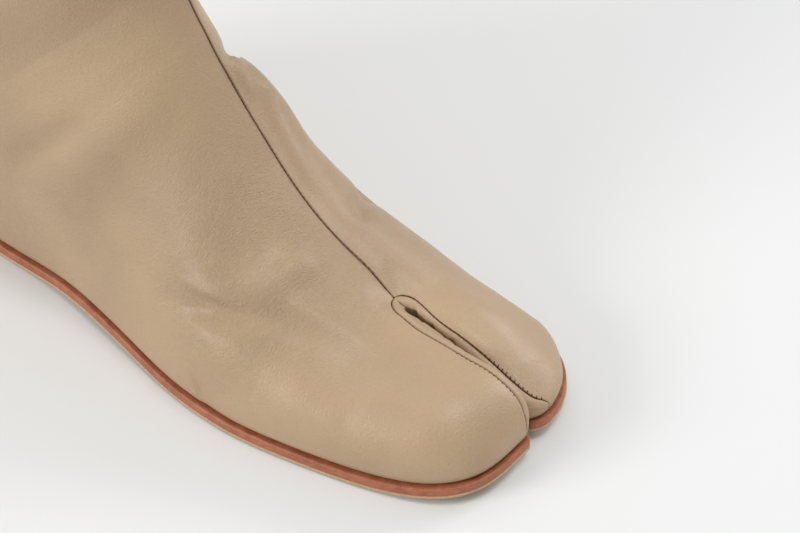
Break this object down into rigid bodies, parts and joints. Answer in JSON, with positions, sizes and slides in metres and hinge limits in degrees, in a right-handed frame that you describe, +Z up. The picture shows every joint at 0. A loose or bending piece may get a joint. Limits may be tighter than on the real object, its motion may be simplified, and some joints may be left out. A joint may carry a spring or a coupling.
{
  "type": "split-toe ankle boot",
  "caption": "Right split-toe ankle boot in soft leather: hollow seamed upper, banded cleft between the big toe and the others, thin flat leather sole and open collar",
  "frame": {"origin": "On the floor under the centre of the bounding box", "axes": "+X from heel to toe, +Y to the big-toe (medial) side, +Z up"},
  "size_m": [0.255, 0.0911, 0.152],
  "materials": {
    "upper_leather": "semi-matte smooth leather",
    "band_leather": "semi-matte smooth leather",
    "sole_leather": "waxed sole leather with a stained edge",
    "insole_leather": "matte lining leather"
  },
  "bodies": {
    "root": {"upper": "upper_leather", "toe_gusset": "band_leather", "outsole": "sole_leather", "insole": "insole_leather"}
  },
  "joints": []
}
